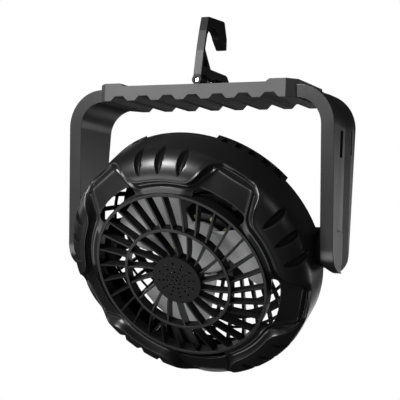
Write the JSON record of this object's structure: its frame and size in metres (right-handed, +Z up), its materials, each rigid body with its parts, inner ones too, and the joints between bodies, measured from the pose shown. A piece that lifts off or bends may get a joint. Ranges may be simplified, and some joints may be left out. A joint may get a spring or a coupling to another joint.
{
  "type": "portable camping fan",
  "caption": "Round tilting fan head with a ring of lights, held between the legs of a square handle that has a ribbed grip and a fold-up hanging hook.",
  "frame": {"origin": "centre of the grip's underside", "axes": "+X along the grip to the right seen from the front, -Y the way the fan blows when level, +Z up towards the hook"},
  "size_m": [0.22, 0.1501, 0.2706],
  "materials": {
    "black_plastic": "satin moulded plastic",
    "shell_plastic": "satin black moulded plastic with a soft sheen",
    "case_plastic": "fine matte texture",
    "grip_plastic": "fine matte texture",
    "cap_plastic": "fine matte texture",
    "blade_plastic": "satin grey",
    "steel": "plated",
    "contact_metal": "nickel plated",
    "rubber": "matte",
    "magnet_steel": "dark pressed steel",
    "copper": "enamelled copper wire",
    "board": "solder mask",
    "light": "pale yellow phosphor",
    "cell_wrap": "shrink wrap",
    "button_plastic": "satin"
  },
  "bodies": {
    "handle": {"handle_bail": "black_plastic", "grip_front": "grip_plastic", "grip_rear": "grip_plastic", "grip_screws": "steel", "hook_bracket": "black_plastic", "bracket_screws": "steel", "hook_pins": "steel", "pivot_bolts": "steel", "pivot_nuts": "steel", "pivot_washers": "steel", "friction_washers": "rubber", "pivot_caps": "black_plastic"},
    "hook": {"hook": "black_plastic"},
    "head": {"front_shell": "shell_plastic", "front_grille": "shell_plastic", "grille_screws": "steel", "hub_cap": "cap_plastic", "rear_basket": "shell_plastic", "shell_screws": "steel", "pivot_bosses": "black_plastic", "motor_housing": "case_plastic", "motor_screws": "steel", "bearings": "steel", "stator_core": "magnet_steel", "windings": "copper", "led_board": "board", "led_chips": "light", "battery_case": "case_plastic", "case_screws": "steel", "battery_cells": "cell_wrap", "cell_contacts": "contact_metal", "control_board": "board", "board_screws": "steel", "tact_switches": "board", "usb_port": "contact_metal", "level_lights": "light", "lead_wires": "copper", "rear_cover": "case_plastic", "cover_screws": "steel"},
    "rotor": {"rotor": "blade_plastic", "magnet_ring": "magnet_steel", "motor_shaft": "steel", "shaft_clip": "steel"},
    "fan_button": {"fan_button": "button_plastic", "fan_plunger": "contact_metal"},
    "light_button": {"light_button": "button_plastic", "light_plunger": "contact_metal"},
    "usb_flap": {"usb_flap": "rubber"}
  },
  "joints": [
    {"name": "hook_fold", "type": "hinge", "parent": "handle", "child": "hook", "pos_m": [0, 0, 0.016], "axis": [0, 1, 0], "range_deg": [-90, 90]},
    {"name": "head_tilt", "type": "hinge", "parent": "handle", "child": "head", "pos_m": [0, 0, -0.10797], "axis": [1, 0, 0], "range_deg": [-121.5, 148.5]},
    {"name": "rotor_spin", "type": "hinge", "parent": "head", "child": "rotor", "pos_m": [0, 0, -0.10797], "axis": [0, -0.8526, -0.5225], "continuous": true},
    {"name": "fan_press", "type": "slide", "parent": "head", "child": "fan_button", "axis": [0, -0.8526, -0.5225], "range_m": [0, 0.0012], "stiffness_N_per_m": 800, "springref_m": -0.001},
    {"name": "light_press", "type": "slide", "parent": "head", "child": "light_button", "axis": [0, -0.8526, -0.5225], "range_m": [0, 0.0012], "stiffness_N_per_m": 800, "springref_m": -0.001},
    {"name": "flap_open", "type": "hinge", "parent": "head", "child": "usb_flap", "pos_m": [0, 0.0267, -0.04856], "axis": [1, 0, 0], "range_deg": [0, 115]}
  ]
}
